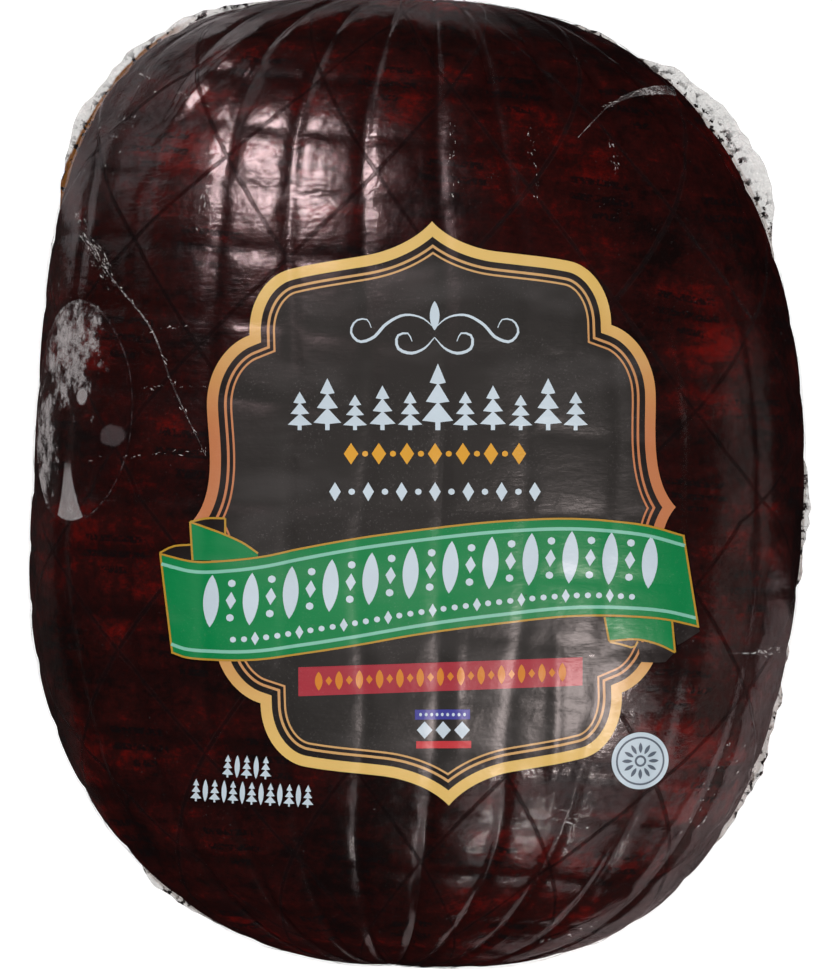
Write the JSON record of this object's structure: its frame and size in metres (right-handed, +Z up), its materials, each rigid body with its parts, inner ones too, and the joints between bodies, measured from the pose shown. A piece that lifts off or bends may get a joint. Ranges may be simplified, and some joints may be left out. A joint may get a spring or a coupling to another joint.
{
  "type": "whole boneless ham in a clear shrink bag",
  "caption": "Whole oval boneless ham with a dark smoked rind and netting marks, vacuum packed in a clear printed shrink bag with a crumpled sealed edge, lying label side up.",
  "frame": {"origin": "the middle of the pack's box, at the level it rests on", "axes": "+Z up out of the label side, +Y towards the top of the label, +X to the label's right"},
  "size_m": [0.2048, 0.2554, 0.1055],
  "materials": {
    "smoked_rind_in_film": "dark mahogany rind under tight glossy clear film, with a black, gold, green and red printed panel",
    "clear_label": "clear oval label with milky patches under it"
  },
  "bodies": {
    "root": {"ham_pack": "smoked_rind_in_film", "date_label": "clear_label"}
  },
  "joints": []
}
